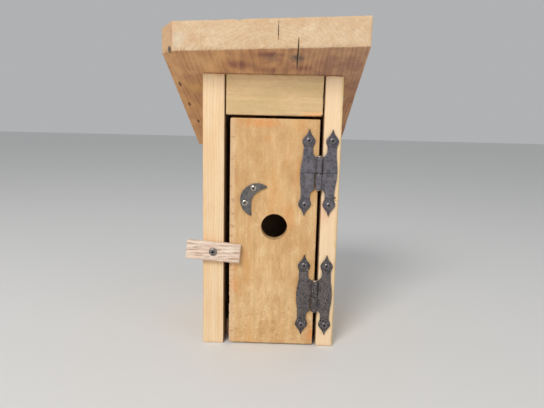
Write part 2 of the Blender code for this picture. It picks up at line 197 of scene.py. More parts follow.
class Pine(Paint):
    """A pine finish in the making. The growth rings run round a pith line parallel to the grain, so faces
    show long grain and ends show arcs, and knots push the rings aside. Each section colours its board
    from these."""

    def __init__(self, name, grain, pith, ring, seed, turn=0.0, taper=0.0, knots=()):
        self.material, bench, self.shader, places = blank_material(name)
        super().__init__(bench, places)
        self.laid = laid = bench.node("ShaderNodeMapping", {}, {"Vector": places, "Rotation": (turn, 0, 0)})
        self.axis = "XYZ".index(grain)
        along = self.part(laid, self.axis)
        across = [self.part(laid, k) for k in range(3) if k != self.axis]
        self.shifted = bench.vector("ADD", laid, (seed, seed, seed))
        self.wander = self.grainy(6, 38, 3.0)
        radius = ((across[0] - pith[0]) ** 2 + (across[1] - pith[1]) ** 2) ** 0.5
        radius = radius + along * taper + (self.wander - 0.5) * (ring * 4.5)
        self.core = None
        for centre, size in knots:
            away = bench.vector("DISTANCE", places, centre, output="Value")
            radius = radius + bench.rise(away, size * 5, size * 0.8) * (ring * 2.5)
            core = bench.rise(away + (self.wander - 0.5) * size, size * 1.15, size * 0.75)
            self.core = core if self.core is None else self.core + core
        phase = bench.node("ShaderNodeMath", {"operation": "FRACT"}, {0: radius / ring})
        self.summer = bench.rise(phase, 0.2, 0.86) - bench.rise(phase, 0.88, 1.0)
        self.fibre = self.grainy(16, 1300, 2.0)
        self.streak = self.grainy(5, 230, 4.0)
        self.patch = self.grainy(24, 62, 4.0)
        self.speck = bench.noise(self.shifted, (620, 620, 620), detail=2.0)

    def part(self, vector, index):
        return self.bench.node("ShaderNodeSeparateXYZ", {}, {0: vector}, output=index)

    def grainy(self, with_grain, over_grain, detail):
        """Noise drawn out along the grain."""
        scales = [with_grain if k == self.axis else over_grain for k in range(3)]
        return self.bench.noise(self.shifted, scales, detail)

    def figure(self, pale, dark, late, blush, blotch):
        """The board's own colour: pale spring wood, darker summer wood, and soft patches."""
        fading = self.bench.rise(self.patch, 0.2, 0.75)
        self.colour = self.bench.blend(self.summer * (fading * 0.6 + 0.5) * late, pale, dark)
        self.cover(self.patch, 0.38, 0.68, blotch, blush)

    def finish(self, fibre=0.1, speckle=0.08, bump=0.5, relief=None):
        """Adds fibres and specks, roughness and relief, and gives back the material."""
        if self.core is not None:
            self.lay(self.core * 0.85, tone(112, 68, 40))
        shade = 1.0 + (self.fibre - 0.5) * (fibre * 1.6) + (self.streak - 0.5) * (fibre * 2.2)
        shade = shade + (self.speck - 0.5) * (speckle * 2)
        height = self.fibre * 0.35 + self.streak * 0.5 + self.speck * 0.4 - self.summer * 0.2
        if relief is not None:
            height = height + relief
        rubbed = 0.6 + self.fibre * 0.2 + self.speck * 0.1
        self.bench.dress(self.shader, self.bench.shaded(self.colour, shade), rubbed, bump, 0.5 * MM, height)
        self.shader.inputs["Specular IOR Level"].default_value = 0.25
        return self.material


def stations(low, high, step, arris):
    """Grid lines along one side of a board, crowded where the arrises are rounded."""
    count = max(2, round((high - low - 2 * arris) / step) + 1)
    inner = np.linspace(low + arris, high - arris, count)
    return np.concatenate([[low, low + 0.35 * arris], inner, [high - 0.35 * arris, high]])


def box_skin(lines):
    """Points and quads of a closed box whose six faces are ruled by three sets of grid lines."""
    sizes = [len(line) for line in lines]
    quads = []
    for axis in range(3):
        u, v = (axis + 1) % 3, (axis + 2) % 3
        for end in (0, sizes[axis] - 1):
            iu, iv = np.meshgrid(np.arange(sizes[u] - 1), np.arange(sizes[v] - 1), indexing="ij")
            corners = []
            for du, dv in ((0, 0), (1, 0), (1, 1), (0, 1)):
                index = np.zeros(iu.shape + (3,), int)
                index[..., axis] = end
                index[..., u] = iu + du
                index[..., v] = iv + dv
                corners.append(index.reshape(-1, 3))
            face = np.stack(corners, axis=1)
            quads.append(face if end else face[:, ::-1])
    faces = np.concatenate(quads)
    keys = (faces[..., 0] * sizes[1] + faces[..., 1]) * sizes[2] + faces[..., 2]
    kept, index = np.unique(keys, return_inverse=True)
    places = [kept // (sizes[1] * sizes[2]), kept // sizes[2] % sizes[1], kept % sizes[2]]
    points = np.stack([lines[axis][places[axis]] for axis in range(3)], axis=1)
    return points, index.reshape(-1, 4)


def rough(points, scale, seed):
    """Smooth noise of -1 to 1 at each point. The scale is in cycles a metre."""
    offset = Vector((seed * 7.3, seed * 3.1, seed * 5.7))
    return np.array([noise.noise(Vector(point) * scale + offset) for point in points])


def put(name, data):
    """A new object in the scene."""
    piece = bpy.data.objects.new(name, data)
    bpy.context.scene.collection.objects.link(piece)
    return piece


def note_values(mesh, label, amounts):
    """Writes a named value on each point of a mesh."""
    values = mesh.attributes.new(label, "FLOAT", "POINT").data
    values.foreach_set("value", np.asarray(amounts, np.float32))


def mesh_piece(name, points, faces, values=None):
    """A smooth-shaded piece with named values on its points."""
    mesh = bpy.data.meshes.new(name)
    mesh.from_pydata([tuple(point) for point in points], [], [tuple(face) for face in faces])
    for label, amounts in (values or {}).items():
        note_values(mesh, label, amounts)
    mesh.shade_smooth()
    return put(name, mesh)


def sawn_board(name, low, high, step, arris, shape=None, chips=0.5, seed=1, inside=(0, 0, 0)):
    """A board with softened, chipped arrises and slightly uneven faces, all inside the box given. The
    function shape carries the squared-up points to the board's own outline. The points carry how worn they
    are, and whether they are on the underside, the top, the front or back, or a face turned inwards, which
    the wall finish darkens as painted shade."""
    low, high = np.array(low), np.array(high)
    points, faces = box_skin([stations(low[k], high[k], step, arris) for k in range(3)])
    core = np.clip(points, low + arris, high - arris)
    outwards = points - core
    near_edge = (np.abs(outwards) > arris * 0.2).sum(axis=1) >= 2
    outwards /= np.linalg.norm(outwards, axis=1)[:, None]
    unevenness = 0.5 + 0.5 * rough(points, 90, seed)
    nibble = np.clip(rough(points, 130, seed + 1) + 0.35 * rough(points, 420, seed + 2) - 0.05, 0, 1)
    depth = unevenness * 0.12 * MM + near_edge * (0.15 * arris * unevenness + chips * arris * nibble)
    points = core + outwards * (arris - depth)[:, None]
    values = {
        "wear": near_edge * (0.45 + 0.55 * np.clip(nibble * 2 + 0.3 * unevenness, 0, 1)),
        "under": np.clip(-outwards[:, 2], 0, 1),
        "top": np.clip(outwards[:, 2], 0, 1),
        "ends": np.abs(outwards[:, 1]),
        "indoor_shade": np.clip(outwards @ np.array(inside), 0, 1),
    }
    if shape is not None:
        points = shape(points)
    return mesh_piece(name, points, faces, values)


def settle(piece, body, slot, material, *nodes):
    """Gives a finished piece its material and its body, and hides the CAD nodes that it stands for."""
    piece.data.materials.clear()
    piece.data.materials.append(material)
    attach(piece, body)
    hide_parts(*nodes)


def highest(node, y):
    """Height of a CAD node's top at its front or back, whichever y is nearest to."""
    corners = [v.co for v in frame["nodes"][node].data.vertices]
    nearest = min(abs(co.y - y) for co in corners)
    return max(co.z for co in corners if abs(co.y - y) < nearest + 1.0 * MM)


def under_roof(node):
    """Carries a squared-up board's points down to the sloping top of a CAD node."""
    low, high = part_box(node)
    front, back = highest(node, low.y), highest(node, high.y)

    def shape(points):
        share = (points[:, 1] - low.y) / (high.y - low.y)
        top = front + (back - front) * share
        points = points.copy()
        points[:, 2] = low.z + (points[:, 2] - low.z) * (top - low.z) / (high.z - low.z)
        return points

    return shape


def wall_pine(name, grain, pith, ring, seed, knots=(), marks=None):
    """The clean pale pine of the walls, back and floor, with painted shade darkening the faces turned
    inwards.
    """
    pine = Pine(name, grain, pith, ring, seed, knots=knots)
    pine.figure(tone(241, 212, 172), tone(227, 186, 140), 0.6, tone(234, 196, 150), 0.75)
    broad = pine.grainy(3, 90, 3.0)
    pine.cover(broad, 0.52, 0.68, 0.35, tone(246, 222, 188))
    if marks is not None:
        marks(pine)
    # Painted shade: faces turned inwards are darkened to a deep brown.
    pine.cover(pine.bench.worn("indoor_shade"), 0.3, 0.8, 0.8, tone(112, 86, 62))
    pine.cover(pine.bench.worn("wear"), 0.25, 0.9, 0.55, tone(220, 172, 122))
    return pine.finish(fibre=0.09, speckle=0.05)


wall_low, wall_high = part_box("left_side_wall")
left_wall = sawn_board("left_wall", wall_low, wall_high, 3.0 * MM, 1.1 * MM, under_roof("left_side_wall"),
                       seed=3, inside=(1, 0, 0))
left_pine = wall_pine("left wall pine", "Z", (-0.21, 0.05), 2.3 * MM, 0.0)
settle(left_wall, "house", "wall_pine", left_pine, "left_side_wall")


def right_wall_marks(pine):
    """Paler patches, the pink bloom below the small knot, two fine splits painted in as dark lines of shade,
    and a yellowed outer arris.
    """
    bench, front = pine.bench, wall_low.y
    pine.lay(bench.rise(pine.patch, 0.2, 0.7) * 0.35 + 0.15, tone(252, 226, 190))
    pine.mark((60 * MM, front, 153 * MM), mm(15, 30, 24), 0.1, pine.patch, 0.55, tone(232, 178, 146))
    # Painted shade: the two fine splits are drawn as thin dark lines.
    for x, z, reach in ((69.5, 167.0, 3.4), (66.0, 163.0, 2.6)):
        pine.mark((x * MM, front, z * MM), mm(reach, 9, 0.7), 0.2, pine.speck, 0.75, tone(110, 78, 58))
    x, y = pine.part(pine.places, 0), pine.part(pine.places, 1)
    edge = bench.rise(x + (pine.patch - 0.5) * (5 * MM), wall_high.x - 3.5 * MM, wall_high.x - 0.5 * MM)
    near_front = bench.rise(y + (pine.patch - 0.5) * (16 * MM), front + 16 * MM, front + 4 * MM)
    pine.lay(edge * near_front * 0.5, tone(212, 176, 104))


wall_low, wall_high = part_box("right_side_wall")
right_wall = sawn_board("right_wall", wall_low, wall_high, 3.0 * MM, 1.4 * MM,
                        under_roof("right_side_wall"), seed=8, inside=(-1, 0, 0))
right_knots = [((0.0685, wall_low.y, 0.170), 1.8 * MM)]
right_pine = wall_pine("right wall pine", "Z", (0.19, -0.02), 2.0 * MM, 4.0, right_knots, right_wall_marks)
settle(right_wall, "house", "wall_pine", right_pine, "right_side_wall")

# ----------------------------------------------------------------------
# Header, back wall and floor. The header is a short rough-sawn board above the door, a browner one, with its
# grain level and a torn lower corner. The back wall and the floor close the box. All three fit between the
# side walls.

header_low, header_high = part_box("header")


def header_outline(points):
    """Shrinks the header off its neighbours, wavers its right end and tears its lower right corner."""
    points = under_roof("header")(points)
    right = np.clip((points[:, 0] - header_high.x + 6 * MM) / (6 * MM), 0, 1)
    left = np.clip((header_low.x + 4 * MM - points[:, 0]) / (4 * MM), 0, 1)
    wavy = 0.5 + 0.5 * rough(points * (0, 0.3, 1), 120, 13)
    points[:, 0] += 0.8 * MM * left - (0.6 + 1.1 * wavy) * MM * right
    front = np.clip((header_low.y + 5 * MM - points[:, 1]) / (5 * MM), 0, 1)
    low = np.clip((header_low.z + 5 * MM - points[:, 2]) / (5 * MM), 0, 1)
    torn = np.clip((points[:, 0] - header_high.x + 24 * MM) / (24 * MM), 0, 1)
    points[:, 2] += (0.5 + 0.5 * rough(points, 260, 14)) * 3.0 * MM * low * front * torn
    points[:, 1] += 0.4 * MM * front
    return points


header = sawn_board("header_board", header_low, header_high, 1.6 * MM, 0.9 * MM, header_outline,
                    chips=0.9, seed=12)
pine = Pine("header pine", "X", (-0.12, 0.20), 1.7 * MM, 2.0)
pine.figure(tone(222, 189, 143), tone(208, 173, 126), 0.4, tone(204, 176, 128), 0.8)
flecks = pine.bench.noise(pine.shifted, (150, 260, 520), detail=4.0, roughness=0.7)
pine.cover(flecks, 0.54, 0.7, 0.35, tone(184, 152, 106))
pine.cover(flecks, 0.44, 0.3, 0.35, tone(238, 208, 164))
lip_place = (header_high.x - 9 * MM, header_low.y, header_low.z + 1.5 * MM)
pine.mark(lip_place, mm(24, 20, 3.4), 0.4, pine.patch, 0.85, tone(238, 186, 128))
pine.cover(pine.bench.worn("wear"), 0.2, 0.8, 0.6, tone(168, 126, 84))
header_pine = pine.finish(fibre=0.12, speckle=0.1, relief=flecks * 0.6, bump=0.7)
settle(header, "house", "header_pine", header_pine, "header")

back_low, back_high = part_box("back_wall")
back_wall = sawn_board("back_board", back_low, back_high, 3.0 * MM, 1.0 * MM, seed=21, inside=(0, -1, 0))
back_knots = [((-0.022, back_high.y, 0.15), 5.0 * MM), ((0.031, back_high.y, 0.052), 3.2 * MM)]
back_pine = wall_pine("back wall pine", "Z", (0.02, -0.06), 3.1 * MM, 7.0, back_knots)
settle(back_wall, "house", "wall_pine", back_pine, "back_wall")

floor_low, floor_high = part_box("floor_board")
floor_board = sawn_board("bottom_board", floor_low, floor_high, 3.0 * MM, 1.0 * MM, seed=25, inside=(0, 0, 1))
floor_pine = wall_pine("floor pine", "X", (0.03, -0.05), 2.6 * MM, 9.0)
settle(floor_board, "house", "wall_pine", floor_pine, "floor_board")

# ----------------------------------------------------------------------
# Roof. One thick rough-sawn slab with its grain running down the slope, so its plumb front cut shows end
# grain. The front cut is a little out of square, the left edge is waney, and the underside is painted
# browner, partly its own colour and partly painted shade, with a flame figure, old nail holes and a drying
# crack with a blue-grey iron stain round it.

roof_low, roof_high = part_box("roof_slab")
roof_corners = np.array([v.co for v in frame["nodes"]["roof_slab"].data.vertices])
right_front = roof_corners[(roof_corners[:, 0] > roof_high.x - 1.0 * MM) & (roof_corners[:, 1] < 0)]
right_back = roof_corners[(roof_corners[:, 0] > roof_high.x - 1.0 * MM) & (roof_corners[:, 1] > 0)]
roof_fall = right_front[:, 2].min() - right_back[:, 2].min()
roof_drop = roof_fall / (right_back[:, 1].max() - right_front[:, 1].min())
roof_slope = math.atan(roof_drop)
roof_height = right_front[:, 2].max() - right_front[:, 2].min()
roof_length = roof_high.y - roof_low.y
left_front_y = roof_corners[roof_corners[:, 0] < roof_low.x + 1.0 * MM, 1].min()


def roof_front(x):
    """Where the skewed front cut lies at x."""
    return left_front_y + (roof_low.y - left_front_y) * (x - roof_low.x) / (roof_high.x - roof_low.x)


def roof_under(y):
    """Height of the roof's underside at y."""
    return roof_high.z - roof_height - (y - roof_low.y) * roof_drop


def beneath(x, y):
    """The place on the roof's underside at x and y."""
    return (x, y, roof_under(y))


def down_the_slope(points):
    """Carries a squared-up slab to the roof's place: front cut, slope, wane, wavy right edge and a nick."""
    points = points.copy()
    share = points[:, 1] / roof_length
    height = points[:, 2]
    wavy = 1.3 * MM * (0.5 + 0.5 * rough(points * (1, 1, 0.3), 45, 31))
    points[:, 0] -= wavy * np.clip((points[:, 0] - roof_high.x + 8 * MM) / (8 * MM), 0, 1)
    wane = np.clip((roof_low.x + 10.6 * MM - points[:, 0]) / (10.6 * MM), 0, 1)
    ragged = 1 + 0.25 * rough(points, 60, 33)
    at_top = np.clip(height / roof_height, 0, 1)
    at_front = np.clip(1 - share * roof_length / (9 * MM), 0, 1)
    height = height - 5.2 * MM * wane * ragged * at_top ** 2
    height -= 1.3 * MM * at_top ** 3 * at_front * np.exp(-((points[:, 0] + 32.5 * MM) / (1.5 * MM)) ** 2)
    front = roof_front(points[:, 0]) + 2.4 * MM * wane
    points[:, 1] = front + share * (roof_high.y - front)
    points[:, 2] = roof_under(points[:, 1]) + height
    return points


def make_real(piece):
    """Turns a piece's modifiers into plain mesh."""
    bpy.context.view_layer.update()
    seen = piece.evaluated_get(bpy.context.evaluated_depsgraph_get())
    piece.data = bpy.data.meshes.new_from_object(seen)
    piece.modifiers.clear()


def cut_out(piece, shape):
    """Takes a bmesh of closed cutting shapes out of a piece."""
    bmesh.ops.recalc_face_normals(shape, faces=shape.faces)
    mesh = bpy.data.meshes.new("cutter")
    shape.to_mesh(mesh)
    shape.free()
    cutter = put("cutter", mesh)
    boolean = piece.modifiers.new("cut", "BOOLEAN")
    boolean.object = cutter
    boolean.solver = "EXACT"
    make_real(piece)
    bpy.data.objects.remove(cutter)


def add_bore(shape, centre, axis, radius, length, sides=16):
    """Adds a round cutting bar about a centre, along an axis."""
    turn = Vector((0, 0, 1)).rotation_difference(Vector(axis)).to_matrix().to_4x4()
    place = Matrix.Translation(Vector(centre)) @ turn
    bmesh.ops.create_cone(shape, cap_ends=True, segments=sides, radius1=radius, radius2=radius,
                          depth=length, matrix=place)


def add_split(shape, start, end, into, width, depth, seed):
    """Adds a thin wavering wedge from start to end, which cuts a drying crack in the face that it lies on."""
    start, end, into = Vector(start), Vector(end), Vector(into).normalized()
    side = (end - start).cross(into).normalized()
    rings = []
    for step in range(13):
        t = step / 12
        wave = noise.noise(Vector((t * 4, seed, 0))) * 0.5 * MM
        half = width / 2 * (0.15 + 0.85 * math.sin(math.pi * min(max(t, 0.02), 0.98)) ** 0.6)
        middle = start.lerp(end, t) + side * wave
        rim = middle - into * 1.5 * MM
        tip = middle + into * depth * (0.4 + 0.6 * math.sin(math.pi * t))
        rings.append([shape.verts.new(place) for place in (rim - side * half, rim + side * half, tip)])
    for first, second in zip(rings, rings[1:]):
        for k in range(3):
            shape.faces.new((first[k], first[(k + 1) % 3], second[(k + 1) % 3], second[k]))
    shape.faces.new(rings[0])
    shape.faces.new(rings[-1])


roof = sawn_board("roof_board", (roof_low.x, 0, 0), (roof_high.x, roof_length, roof_height), 2.4 * MM,
                  1.0 * MM, down_the_slope, chips=0.6, seed=40)
upper_crack, lower_crack = 4.8 * MM, 23.9 * MM
nail_places = [mm(-101.7, -47.7), mm(-99.6, -7.3), mm(-96.3, 32.9)]
slope_normal = Vector((0, math.sin(roof_slope), math.cos(roof_slope)))
crack_depth = 5 * MM
cuts = bmesh.new()
for seed, x, top_z, end_z in ((1, upper_crack, 341 * MM, 324 * MM), (2, lower_crack, 326 * MM, 313 * MM)):
    front_y = roof_front(x)
    add_split(cuts, (x, front_y, top_z), (x, front_y, end_z), (0, 1, 0), 0.5 * MM, crack_depth, seed)
for nail in nail_places:
    add_bore(cuts, beneath(*nail), slope_normal, 0.85 * MM, 9 * MM)
cut_out(roof, cuts)
cuts = bmesh.new()
front_y = roof_front(lower_crack)
add_split(cuts, beneath(lower_crack, front_y - 2 * MM), beneath(lower_crack, front_y + 26 * MM),
          slope_normal, 0.6 * MM, crack_depth, 3)
cut_out(roof, cuts)

pine = Pine("roof pine", "Y", (-0.008, 0.168), 3.3 * MM, 5.0, turn=roof_slope, taper=0.035)
bench, places = pine.bench, pine.places
pine.figure(tone(217, 189, 155), tone(204, 170, 131), 0.5, tone(206, 169, 129), 0.6)
mottle = bench.noise(pine.shifted, (260, 260, 260), detail=5.0, roughness=0.75)
cloud = bench.noise(pine.shifted, (48, 48, 60), detail=4.0, roughness=0.6)
pine.cover(cloud, 0.5, 0.68, 0.45, tone(232, 208, 178))
pine.cover(cloud, 0.46, 0.3, 0.4, tone(206, 166, 122))
ends = bench.rise(bench.worn("ends"), 0.3, 0.7)
pine.cover(mottle, 0.54, 0.7, ends * 0.3 + 0.1, tone(240, 218, 190))
pine.cover(mottle, 0.45, 0.3, ends * 0.35 + 0.1, tone(192, 150, 108))
pine.lay((1.0 - ends) * pine.summer * bench.rise(pine.patch, 0.25, 0.65) * 0.5, tone(190, 142, 98))
top = bench.rise(bench.worn("top"), 0.3, 0.7)
pine.lay(top * 0.45, tone(196, 170, 142))
pine.lay(top * bench.rise(pine.streak, 0.5, 0.68) * 0.5, tone(160, 132, 108))
x = pine.part(places, 0)
# Painted shade: the waney facet along the left edge is painted darker.
waney_edge_shade = bench.rise(x + (pine.wander - 0.5) * (3 * MM), roof_low.x + 12 * MM, roof_low.x + 10 * MM)
pine.lay(waney_edge_shade * 0.75, tone(194, 156, 118))
seam_place = (roof_low.x + 9.8 * MM, left_front_y, 328 * MM)
pine.mark(seam_place, mm(2.6, 9, 16), 0.2, pine.patch, 0.6, tone(186, 134, 108))
smudge_place = (roof_low.x + 17 * MM, left_front_y, 324 * MM)
pine.mark(smudge_place, mm(9, 6, 11), 0.2, mottle, 0.5, tone(214, 204, 180))
# The underside's colour, built up below: partly its own browner wood and partly painted shade.
underside_base_and_shade = bench.blend(bench.rise(pine.patch, 0.35, 0.65), tone(226, 176, 124), tone(206, 154, 108))
underside_paint_and_shade = Paint(bench, places, underside_base_and_shade)
right_share = bench.rise(x, -45 * MM, 75 * MM)
underside_paint_and_shade.lay(right_share * 0.8, tone(190, 148, 118))
underside_paint_and_shade.cover(cloud, 0.52, 0.7, 0.45, tone(178, 130, 104))
underside_paint_and_shade.cover(cloud, 0.46, 0.3, 0.4, tone(226, 182, 134))
underside_paint_and_shade.lay(pine.summer * bench.rise(pine.patch, 0.3, 0.7) * 0.4, tone(150, 104, 84))
underside_paint_and_shade.cover(pine.streak, 0.52, 0.7, 0.3, tone(146, 104, 86))
underside_paint_and_shade.lay(pine.summer * right_share * 0.2, tone(132, 96, 86))
underside_paint_and_shade.lay(bench.rise(cloud, 0.46, 0.62) * right_share * 0.5, tone(150, 110, 96))
flame_places = [mm(-32, -84, 24, 11), mm(-4, -100, 26, 6), mm(-8, -76, 20, 7), mm(30, -80, 16, 8)]
for x, y, wide, deep in flame_places:
    flame_share = pine.summer * 0.4 + 0.45
    underside_paint_and_shade.mark(beneath(x, y), (wide, deep, 20 * MM), 0.1, pine.patch, flame_share, tone(136, 86, 80))
underside_paint_and_shade.mark(beneath(-88 * MM, -42 * MM), mm(14, 26, 20), 0.1, pine.patch, 0.6, tone(228, 182, 118))
for x, strength in ((lower_crack, 0.9), (0.0, 0.35)):
    underside_paint_and_shade.mark(beneath(x, -96 * MM), mm(11, 10, 8), 0.05, mottle, strength, tone(104, 96, 92))
for nail in nail_places:
    underside_paint_and_shade.mark(beneath(*nail), mm(3.2, 5.5, 4), 0.2, mottle, 0.6, tone(112, 62, 44))
# Painted shade together with the underside's own colour: the browner paint goes on every face turned down.
pine.lay(bench.rise(bench.worn("under"), 0.3, 0.7), underside_paint_and_shade.colour)
lift = pine.part(pine.laid, 2) - roof_under(0) * math.cos(roof_slope)
ticks = bench.noise(pine.shifted, (620, 90, 120), detail=2.0)
low_ends = ends * bench.rise(lift, 4 * MM, 1 * MM) * bench.rise(cloud, 0.44, 0.56)
pine.lay(low_ends * bench.rise(ticks, 0.54, 0.64) * 0.5, tone(150, 108, 74))
pine.lay(ends * bench.rise(lift, 17 * MM, 25 * MM) * bench.rise(cloud, 0.44, 0.6) * 0.45, tone(206, 164, 118))
# Painted shade: the nail holes and the cracks, already cut, are also painted dark inside.
for nail in nail_places:
    pine.mark(beneath(*nail), mm(1.1, 6, 14), 0.7, None, 0.8, tone(96, 56, 42))
for x, z, tall in ((upper_crack, 332.5, 9.5), (lower_crack, 319.5, 8)):
    pine.mark((x, roof_front(x), z * MM), mm(0.8, 9, tall), 0.4, None, 0.6, tone(72, 52, 38))
slit_place = beneath(lower_crack, roof_front(lower_crack) + 12 * MM)
pine.mark(slit_place, mm(1.1, 26, 22), 0.6, None, 0.8, tone(56, 46, 42))
knot_place = (roof_low.x + 8.2 * MM, left_front_y, 314.5 * MM)
pine.mark(knot_place, mm(2.8, 8, 5.0), 0.4, cloud, 0.9, tone(70, 66, 60))
pine.cover(bench.worn("wear"), 0.3, 0.9, 0.4, tone(236, 212, 180))
saw_lines = bench.noise(pine.shifted, (24, 420, 24), detail=2.0)
roof_pine = pine.finish(fibre=0.12, speckle=0.12, relief=mottle * 0.8 + saw_lines * 0.5, bump=0.6)
settle(roof, "house", "roof_pine", roof_pine, "roof_slab")

# ----------------------------------------------------------------------
# Door. A thin honey-coloured board, cloudy and faintly upright in the grain, bored right through for the
# birds. Its latch edge is paler and chipped low down, and its lower corner there is rounded off.

door_low, door_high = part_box("door")
hole_x, hole_z, hole_radius = 4.5 * MM, 136.4 * MM, 14.3 * MM


def handled_door(points):
    """The door's worn outline: a rounded lower latch corner and a chipped edge above it."""
    points = points.copy()
    corner = 5 * MM
    x = points[:, 0] - door_low.x
    z = points[:, 2] - door_low.z
    pull = np.stack([corner - x, corner - z], axis=1)
    inside = (pull > 0).all(axis=1)
    reach = np.linalg.norm(pull, axis=1)
    past = inside & (reach > corner)
    points[past, 0] = door_low.x + corner - pull[past, 0] * corner / reach[past]
    points[past, 2] = door_low.z + corner - pull[past, 1] * corner / reach[past]
    chipped = np.clip(1 - np.abs(z - 46 * MM) / (36 * MM), 0, 1)
    bite = np.clip(rough(points * (0, 0.4, 1), 260, 51) + 0.15, 0, 1) * 1.5 * MM
    points[:, 0] += bite * chipped * np.clip(1 - x / (3 * MM), 0, 1)
    return points


door = sawn_board("door_board", door_low, door_high, 1.7 * MM, 0.9 * MM, handled_door, chips=0.7, seed=50)
cuts = bmesh.new()
add_bore(cuts, (hole_x, door_low.y, hole_z), (0, 1, 0), hole_radius, 60 * MM, 96)
cut_out(door, cuts)

pine = Pine("door pine", "Z", (0.055, 0.03), 2.6 * MM, 11.0)
bench, places = pine.bench, pine.places
pine.figure(tone(217, 178, 126), tone(203, 158, 106), 0.4, tone(204, 159, 107), 0.8)
cloud = bench.noise(pine.shifted, (130, 95, 50), detail=5.0, roughness=0.7)
lines = pine.grainy(7, 420, 3.0)
pine.cover(lines, 0.5, 0.7, 0.25, tone(196, 148, 98))
pine.cover(lines, 0.46, 0.3, 0.2, tone(236, 204, 156))
broad = bench.noise(pine.shifted, (34, 34, 22), detail=3.0)
pine.cover(broad, 0.5, 0.66, 0.4, tone(228, 194, 144))
pine.cover(broad, 0.48, 0.34, 0.4, tone(202, 154, 100))
pine.cover(cloud, 0.5, 0.66, 0.5, tone(234, 202, 154))
pine.cover(cloud, 0.47, 0.32, 0.5, tone(190, 142, 92))
x, z = pine.part(places, 0), pine.part(places, 2)
pine.cover(z, 140 * MM, 240 * MM, 0.3, tone(202, 158, 108))
pine.cover(pine.grainy(9, 34, 3.0), 0.54, 0.74, 0.4, tone(226, 164, 100))
warm_spots = [(-39.5, 70, 6, 13, 0.85), (-40, 92, 7, 11, 0.55), (48.5, 16, 6, 14, 0.9),
              (32, 62, 5, 24, 0.35), (-12, 248, 32, 8, 0.7), (28, 196, 4, 26, 0.3),
              (20, 150, 12, 22, 0.4), (-2, 232, 8, 6, 0.3)]
for spot_x, spot_z, wide, tall, strength in warm_spots:
    centre = (spot_x * MM, door_low.y, spot_z * MM)
    pine.mark(centre, mm(wide, 12, tall), 0.05, cloud, strength, tone(224, 150, 88))
margin = bench.rise(x + (pine.patch - 0.5) * (5 * MM), door_low.x + 7.5 * MM, door_low.x + 4.0 * MM)
pine.lay(margin * 0.55, tone(228, 194, 156))
dashes = bench.noise(pine.shifted, (90, 90, 270), detail=4.0, roughness=0.7)
pine.lay(margin * bench.rise(dashes, 0.56, 0.66) * 0.7, tone(180, 128, 102))
torn = bench.noise(pine.shifted, (210, 210, 300), detail=3.0, roughness=0.7)
low_down = bench.rise(z + (pine.patch - 0.5) * (60 * MM), 95 * MM, 25 * MM)
pine.lay(low_down * bench.rise(torn, 0.58, 0.68) * 0.45, tone(242, 214, 172))
pine.lay(low_down * bench.rise(torn, 0.42, 0.33) * 0.4, tone(176, 128, 84))
chipped = bench.rise(bench.worn("wear"), 0.3, 0.9)
pine.lay(chipped * 0.45, tone(232, 196, 150))
pine.lay(chipped * margin * low_down * 0.8, tone(250, 230, 196))
door_relief = torn * low_down + dashes * margin * 0.6
door_pine = pine.finish(fibre=0.1, speckle=0.16, relief=door_relief)
settle(door, "door", "door_pine", door_pine, "door")

# ----------------------------------------------------------------------
# Turn button. A short bar of weathered whitish wood with wavy grain, held by one screw through its middle.

button_joint = next(joint for joint in frame["joints"] if joint["name"] == "button_turn")
button_pivot = Vector(button_joint["pos_m"])
button_low, button_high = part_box("turn_button")
button_tilt = math.radians(4.1)
button_length, button_width = 59.6 * MM, 21.6 * MM


def tilted_button(points):
    """Wavers the bar's edges and turns it to its resting tilt about the screw."""
    points = points.copy()
    waver = 0.7 * MM * (0.5 + 0.5 * rough(points * (1, 0.2, 0.2), 90, 61))
    points[:, 2] -= waver * np.clip(points[:, 2] / (button_width / 2), -1, 1)
    waver = 0.5 * MM * (0.5 + 0.5 * rough(points * (0.2, 0.2, 1), 150, 62))
    points[:, 0] -= waver * np.clip(points[:, 0] / (button_length / 2), -1, 1)
    turn = np.array(Matrix.Rotation(button_tilt, 3, "Y"))
    return points @ turn.T + np.array(button_pivot)


half = Vector((button_length / 2, (button_high.y - button_low.y) / 2, button_width / 2))
button = sawn_board("button_bar", -half, half, 0.9 * MM, 1.2 * MM, tilted_button, chips=0.7, seed=60)
cuts = bmesh.new()
add_bore(cuts, button_pivot, (0, 1, 0), 2.3 * MM, 30 * MM, 32)
cut_out(button, cuts)

pine = Pine("weathered button wood", "X", (0.05, 0.155), 1.7 * MM, 14.0)
bench = pine.bench
pine.figure(tone(240, 221, 203), tone(188, 157, 134), 0.6, tone(226, 196, 174), 0.65)
veins = pine.grainy(60, 430, 4.0)
pine.cover(veins, 0.54, 0.64, 0.65, tone(154, 118, 92))
pine.cover(veins, 0.44, 0.32, 0.55, tone(250, 238, 224))
far_end = bench.rise(pine.part(pine.places, 0) + (pine.patch - 0.5) * (12 * MM), -43 * MM, -31 * MM)
pine.lay(far_end * 0.3, tone(196, 158, 126))
pine.cover(bench.worn("wear"), 0.2, 0.8, 0.5, tone(240, 226, 208))
button_wood = pine.finish(fibre=0.14, speckle=0.12, relief=veins * 1.2, bump=0.8)
settle(button, "turn_button", "button_wood", button_wood, "turn_button")

# ----------------------------------------------------------------------
# Hinges. Four small strap leaves of black hammered iron with a spade at each end, forged in one with half
# of a barrel, and two riveted pins of bright steel.


def cast_copy(name, node, grain, smoothing):
    """A fine, even skin over a copy of a CAD node, its edges eased as a hammer leaves them."""
    mesh = frame["nodes"][node].data.copy()
    shape = bmesh.new()
    shape.from_mesh(mesh)
    bmesh.ops.remove_doubles(shape, verts=shape.verts, dist=0.005 * MM)
    shape.to_mesh(mesh)
    shape.free()
    piece = put(name, mesh)
    remesh = piece.modifiers.new("skin", "REMESH")
    remesh.mode = "VOXEL"
    remesh.voxel_size = grain
    ease = piece.modifiers.new("ease", "SMOOTH")
    ease.factor = 0.5
    ease.iterations = smoothing
    make_real(piece)
    piece.data.shade_smooth()
    return piece


